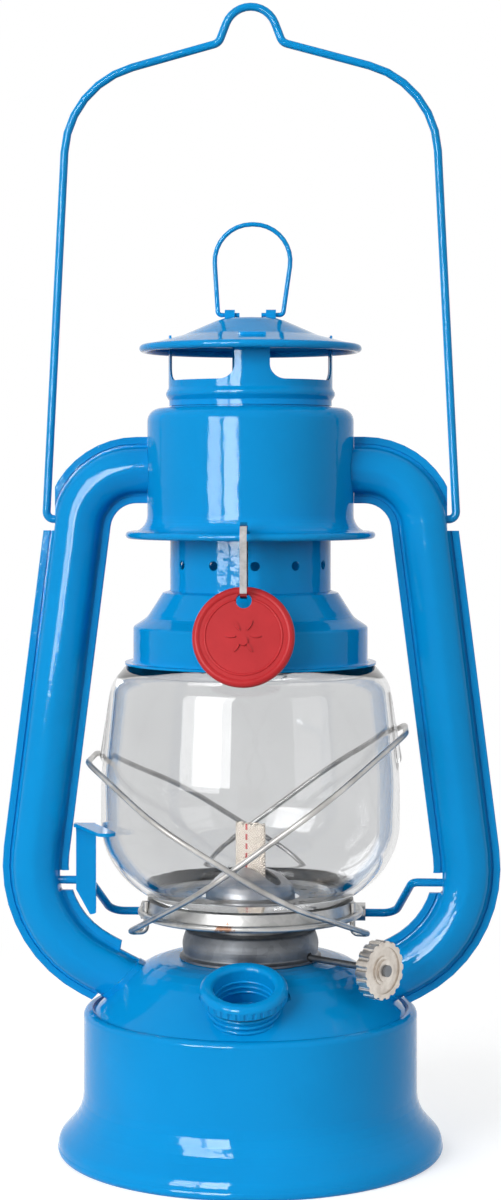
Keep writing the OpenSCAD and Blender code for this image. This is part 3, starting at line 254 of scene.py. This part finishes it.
def red_plastic():
    """Moulded red plastic, half gloss."""
    mat, tree, shader = start_material("red_plastic")
    cloud = noise(tree, 120, 4)
    tree.links.new(ramp(tree, cloud, [(0.3, (0.38, 0.013, 0.017)), (0.7, (0.45, 0.018, 0.023))]),
                   shader.inputs["Base Color"])
    tree.links.new(spread(tree, noise(tree, 500, 3), 0.26, 0.38), shader.inputs["Roughness"])
    shader.inputs["Specular IOR Level"].default_value = 0.25
    relief(tree, shader, noise(tree, 900, 3), 0.00004, 0.5)
    return mat


def rubber():
    """Dull black gasket."""
    mat, tree, shader = start_material("black_rubber")
    black = ramp(tree, noise(tree, 300, 4), [(0.3, (0.012, 0.012, 0.012)), (0.7, (0.03, 0.03, 0.03))])
    tree.links.new(black, shader.inputs["Base Color"])
    shader.inputs["Roughness"].default_value = 0.8
    relief(tree, shader, noise(tree, 1200, 3), 0.00008, 0.7)
    return mat


def wick_cloth():
    """Woven cotton with a stitched red marker thread along its middle."""
    mat, tree, shader = start_material("wick_cloth")
    axes = add(tree, "ShaderNodeSeparateXYZ")
    tree.links.new(place(tree), axes.inputs[0])
    across, up = axes.outputs["X"], axes.outputs["Z"]
    ribs = maths(tree, "SINE", maths(tree, "MULTIPLY", across, 9000.0))
    rows = maths(tree, "SINE", maths(tree, "MULTIPLY", up, 6500.0))
    weave = maths(tree, "MULTIPLY", ribs, rows)
    fuzz = noise(tree, 900, 5, 0.7)
    cream = ramp(tree, fuzz, [(0.3, (0.64, 0.53, 0.43)), (0.7, (0.8, 0.72, 0.62))])
    off_thread = maths(tree, "ABSOLUTE", maths(tree, "SUBTRACT", across, -0.0008))
    near = maths(tree, "LESS_THAN", off_thread, 0.00042)
    stitch = maths(tree, "SINE", maths(tree, "MULTIPLY", up, 2100.0))
    dash = maths(tree, "GREATER_THAN", stitch, -0.35)
    thread = maths(tree, "MULTIPLY", near, dash)
    tree.links.new(mix(tree, thread, cream, (0.5, 0.03, 0.03)), shader.inputs["Base Color"])
    shader.inputs["Roughness"].default_value = 0.9
    shader.inputs["Sheen Weight"].default_value = 0.3
    relief(tree, shader, maths(tree, "ADD", weave, fuzz), 0.00025, 0.8)
    return mat


BLUE = enamel()
PLATE = galvanised("galvanised_plate", (0.54, 0.54, 0.53), (0.39, 0.39, 0.385), 0.36,
                   rust_at=(-0.006, -0.0335, 0.0716))
CONE = galvanised("galvanised_cone", (0.5, 0.5, 0.51), (0.38, 0.38, 0.39), 0.4)
BURNER = galvanised("galvanised_burner", (0.27, 0.285, 0.3), (0.19, 0.2, 0.215), 0.5)
WIRE = wire_steel()
ZINC = zinc()
CHROME = chrome()
GLASS = clear_glass()
RED = red_plastic()
RUBBER = rubber()
CLOTH = wick_cloth()

DRESS = {
    PLATE: ["globe_plate"],
    CONE: ["burner_cone"],
    BURNER: ["burner_skirt", "burner_collar", "wick_tube", "shaft_bracket", "wick_shaft",
             "wick_wheels", "tank_deck", "spring_seat"],
    WIRE: ["guard_wire_left", "guard_wire_right", "chimney_spring"],
    ZINC: ["wick_knob"],
    CHROME: ["tag_ring"],
    GLASS: ["globe"],
    RED: ["tag"],
    RUBBER: ["filler_gasket"],
}
finish_of = {name: material for material, names in DRESS.items() for name in names}
for name, node in nodes.items():
    node.data.materials.clear()
    node.data.materials.append(finish_of.get(name, BLUE))


# Smooth shading of the swept pieces

def smooth_skin():
    """Modifier group that welds a swept skin and shades it smooth up to a sharp edge."""
    group = bpy.data.node_groups.new("smooth_skin", "GeometryNodeTree")
    for way in ("INPUT", "OUTPUT"):
        group.interface.new_socket("Geometry", in_out=way, socket_type="NodeSocketGeometry")
    start = add(group, "NodeGroupInput")
    weld = add(group, "GeometryNodeMergeByDistance", Distance=0.000002)
    bare = add(group, "GeometryNodeRemoveAttribute", Name="custom_normal")
    angle = add(group, "GeometryNodeInputMeshEdgeAngle")
    soft = add(group, "FunctionNodeCompare", operation="LESS_THAN")
    soft.inputs["B"].default_value = radians(SHARP_EDGE)
    edges = add(group, "GeometryNodeSetShadeSmooth", domain="EDGE")
    faces = add(group, "GeometryNodeSetShadeSmooth", domain="FACE")
    end = add(group, "NodeGroupOutput")
    group.links.new(angle.outputs["Unsigned Angle"], soft.inputs["A"])
    group.links.new(soft.outputs[0], edges.inputs["Shade Smooth"])
    chain = [start, weld, bare, edges, faces, end]
    for a, b in zip(chain, chain[1:]):
        group.links.new(a.outputs["Geometry" if "Geometry" in a.outputs else 0], b.inputs[0])
    return group


SWEPT = ["left_tube_front", "left_tube_rear", "right_tube_front", "right_tube_rear", "guard_wire_left",
         "guard_wire_right", "lift_wire", "chimney_spring", "finger_loop", "bail"]
skin = smooth_skin()
for name in SWEPT:
    nodes[name].modifiers.new("smooth_skin", "NODES").node_group = skin


# Globe

def rounded(corners, steps=14):
    """Points of an outline whose corners (r, z, radius) are rounded."""
    points = [Vector(corners[0][:2])]
    for before, corner, after in zip(corners, corners[1:], corners[2:]):
        p = Vector(corner[:2])
        u = (p - Vector(before[:2])).normalized()
        v = (Vector(after[:2]) - p).normalized()
        turn = atan2(u.x * v.y - u.y * v.x, u.dot(v))
        radius = corner[2]
        start = p - u * radius * tan(abs(turn) / 2)
        side = Vector((-u.y, u.x)) * (1 if turn > 0 else -1)
        middle = start + side * radius
        arm = -side * radius
        for i in range(steps + 1):
            a = turn * i / steps
            x = arm.x * cos(a) - arm.y * sin(a)
            y = arm.x * sin(a) + arm.y * cos(a)
            points.append(middle + Vector((x, y)))
    points.append(Vector(corners[-1][:2]))
    return points


def turned_globe():
    """Blown glass globe with soft edges and a small nub at each side."""
    low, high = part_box("globe")
    wide = high.y
    outside = rounded([
        (wide - 0.0159, low.z, 0), (wide - 0.0059, low.z + 0.0066, 0.025), (wide, low.z + 0.0174, 0.022),
        (wide, low.z + 0.0374, 0.1), (wide - 0.0029, low.z + 0.0646, 0.008), (wide - 0.0079, high.z, 0)])
    inside = []
    for i, p in enumerate(outside):
        along = (outside[min(i + 1, len(outside) - 1)] - outside[max(i - 1, 0)]).normalized()
        q = p + Vector((-along.y, along.x)) * GLASS_THICK
        inside.append(Vector((q.x, min(max(q.y, low.z), high.z))))
    outline = outside + inside[::-1]
    around = GLASS_STEPS
    nub_z, nub_out = low.z + NUB_HEIGHT, high.x - wide
    bm = bmesh.new()
    rings = []
    for j, p in enumerate(outline):
        ring = []
        for k in range(around):
            a = 2 * pi * k / around
            r = p.x
            if j < len(outside):
                off = r * min(abs(sin(a / 2)), abs(sin((a - pi) / 2))) * 2
                rise = hypot(off / 0.003, (p.y - nub_z) / 0.0034)
                r += nub_out * exp(-rise ** 4)
            ring.append(bm.verts.new((r * cos(a), r * sin(a), p.y)))
        rings.append(ring)
    for a, b in zip(rings, rings[1:] + rings[:1]):
        for k in range(around):
            bm.faces.new((a[k], a[(k + 1) % around], b[(k + 1) % around], b[k]))
    bmesh.ops.remove_doubles(bm, verts=bm.verts, dist=0.0000005)
    bmesh.ops.recalc_face_normals(bm, faces=bm.faces)
    for face in bm.faces:
        face.smooth = True
    mesh = bpy.data.meshes.new("turned_globe")
    bm.to_mesh(mesh)
    bm.free()
    mesh.materials.append(GLASS)
    piece = bpy.data.objects.new("turned_globe", mesh)
    scene.collection.objects.link(piece)
    return piece


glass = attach(turned_globe(), "globe_carriage")
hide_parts("globe")


# Wick

def woven_wick():
    """Flat woven strip with soft edges and a slightly uneven cut top."""
    low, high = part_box("wick")
    wide, thick = WICK_WIDE, WICK_THICK
    bm = bmesh.new()
    columns, rows = 24, 120
    outline = [(-wide / 2 + wide * i / (columns - 1), 1) for i in range(columns)]
    outline += [(x, -1) for x, _ in reversed(outline)]
    rings = []
    for j in range(rows + 1):
        z = low.z + (high.z - low.z) * j / rows
        ring = []
        for x, side in outline:
            edge = min(1.0, (wide / 2 - abs(x)) / 0.0009)
            half = thick / 2 * (0.35 + 0.65 * edge ** 0.5)
            ripple = 0.00006 * sin(x * 9000 + side) * sin(z * 6500)
            top = z
            if j == rows:
                top = z - 0.0004 * (1 + sin(x * 2300)) - 0.00025 * (1 + sin(x * 7100 + side))
            ring.append(bm.verts.new((x, side * half + ripple, top)))
        rings.append(ring)
    count = len(outline)
    for a, b in zip(rings, rings[1:]):
        for k in range(count):
            bm.faces.new((a[k], b[k], b[(k + 1) % count], a[(k + 1) % count]))
    for ring, flip in ((rings[0], False), (rings[-1], True)):
        for k in range(columns - 1):
            quad = [ring[k], ring[k + 1], ring[count - 2 - k], ring[count - 1 - k]]
            bm.faces.new(quad[::-1] if flip else quad)
    bmesh.ops.recalc_face_normals(bm, faces=bm.faces)
    for face in bm.faces:
        face.smooth = True
    mesh = bpy.data.meshes.new("woven_wick")
    bm.to_mesh(mesh)
    bm.free()
    mesh.materials.append(CLOTH)
    piece = bpy.data.objects.new("woven_wick", mesh)
    scene.collection.objects.link(piece)
    piece.rotation_euler.z = radians(WICK_TURN)
    return piece


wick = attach(woven_wick(), "wick")
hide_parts("wick")


# Floor, light and camera

def shown_white(tree):
    """1 for what the camera, a mirror or the glass sees, 0 for light that falls on things."""
    path = add(tree, "ShaderNodeLightPath")
    both = maths(tree, "MAXIMUM", path.outputs["Is Camera Ray"], path.outputs["Is Glossy Ray"])
    return maths(tree, "MAXIMUM", both, path.outputs["Is Transmission Ray"])


def make_floor():
    """Pale studio floor that stays nearly white to the camera and keeps the lamp's shadow."""
    mesh = bpy.data.meshes.new("floor")
    r = FLOOR_REACH
    mesh.from_pydata([(-r, -r, 0), (r, -r, 0), (r, r, 0), (-r, r, 0)], [], [(0, 1, 2, 3)])
    mat, tree, shader = start_material("studio_floor")
    length = add(tree, "ShaderNodeVectorMath", operation="LENGTH")
    tree.links.new(place(tree), length.inputs[0])
    far = add(tree, "ShaderNodeMapRange", interpolation_type="SMOOTHSTEP")
    far.inputs["From Min"].default_value = SHADOW_INNER
    far.inputs["From Max"].default_value = SHADOW_OUTER
    tree.links.new(length.outputs["Value"], far.inputs["Value"])
    pale = ramp(tree, noise(tree, 3, 2), [(0.3, (0.6, 0.6, 0.6)), (0.7, (0.64, 0.64, 0.64))])
    tree.links.new(mix(tree, far.outputs[0], pale, (0.0, 0.0, 0.0)), shader.inputs["Base Color"])
    shader.inputs["Roughness"].default_value = 0.9
    shader.inputs["Specular IOR Level"].default_value = 0.0
    shader.inputs["Emission Color"].default_value = (1, 1, 1, 1)
    shine = spread(tree, far.outputs[0], 0.55, 1.0)
    tree.links.new(maths(tree, "MULTIPLY", shown_white(tree), shine), shader.inputs["Emission Strength"])
    mesh.materials.append(mat)
    floor = bpy.data.objects.new("floor", mesh)
    scene.collection.objects.link(floor)


def make_world():
    """White to the camera and in reflections, and soft fill light on the object."""
    world = bpy.data.worlds.new("studio")
    scene.world = world
    world.use_nodes = True
    tree = world.node_tree
    back = tree.nodes["Background"]
    back.inputs["Color"].default_value = (1, 1, 1, 1)
    tree.links.new(spread(tree, shown_white(tree), FILL_LIGHT, 1.0), back.inputs["Strength"])


def softbox(name, turn, distance, height, wide, tall, watts, pieces=None):
    """Area light turned to the viewer's left by degrees, that lights all or is mirrored in some pieces."""
    data = bpy.data.lights.new(name, "AREA")
    data.shape = "RECTANGLE"
    data.size, data.size_y = wide, tall
    data.energy = watts
    lamp = bpy.data.objects.new(name, data)
    scene.collection.objects.link(lamp)
    lamp.visible_diffuse = pieces is None
    lamp.visible_glossy = pieces is not None
    if pieces:
        seen_in = bpy.data.collections.new(name)
        for piece in pieces:
            seen_in.objects.link(piece)
        lamp.light_linking.receiver_collection = seen_in
    a = radians(CAMERA_TURN - turn)
    lamp.location = (distance * sin(a), -distance * cos(a), height)
    aim = Vector((0, 0, AIM_HEIGHT)) - lamp.location
    lamp.rotation_euler = aim.to_track_quat("-Z", "Y").to_euler()


def make_camera():
    """Camera at the photograph's place, level with the hood."""
    data = bpy.data.cameras.new("camera")
    data.sensor_fit = "VERTICAL"
    data.sensor_width = data.sensor_height = SENSOR_SIZE
    data.lens = SENSOR_SIZE * FOCAL_PIXELS / IMAGE_HEIGHT
    camera = bpy.data.objects.new("camera", data)
    scene.collection.objects.link(camera)
    a = radians(CAMERA_TURN)
    camera.location = (CAMERA_DISTANCE * sin(a), -CAMERA_DISTANCE * cos(a), CAMERA_HEIGHT)
    camera.rotation_euler = (radians(90), 0, a)
    data.shift_y = -HORIZON_PIXELS / IMAGE_HEIGHT
    scene.camera = camera


make_floor()
make_world()
painted = [node for name, node in nodes.items() if name not in finish_of]
unpainted = [nodes[name] for name in finish_of] + [glass]
softbox("left_inner_box", turn=21.1, distance=1.25, height=0.5, wide=0.355, tall=0.8, watts=54,
        pieces=painted)
softbox("left_outer_box", turn=39.6, distance=1.25, height=0.5, wide=0.345, tall=0.8, watts=39,
        pieces=painted)
softbox("metal_box", turn=30, distance=1.25, height=0.5, wide=0.7, tall=0.8, watts=9, pieces=unpainted)
softbox("left_light", turn=40, distance=1.25, height=0.5, wide=0.8, tall=0.9, watts=18)
softbox("right_light", turn=-50, distance=1.4, height=0.4, wide=0.8, tall=1.0, watts=6)
softbox("rear_light", turn=150, distance=1.5, height=0.7, wide=0.8, tall=0.8, watts=8)
make_camera()
scene.view_settings.view_transform = "Standard"
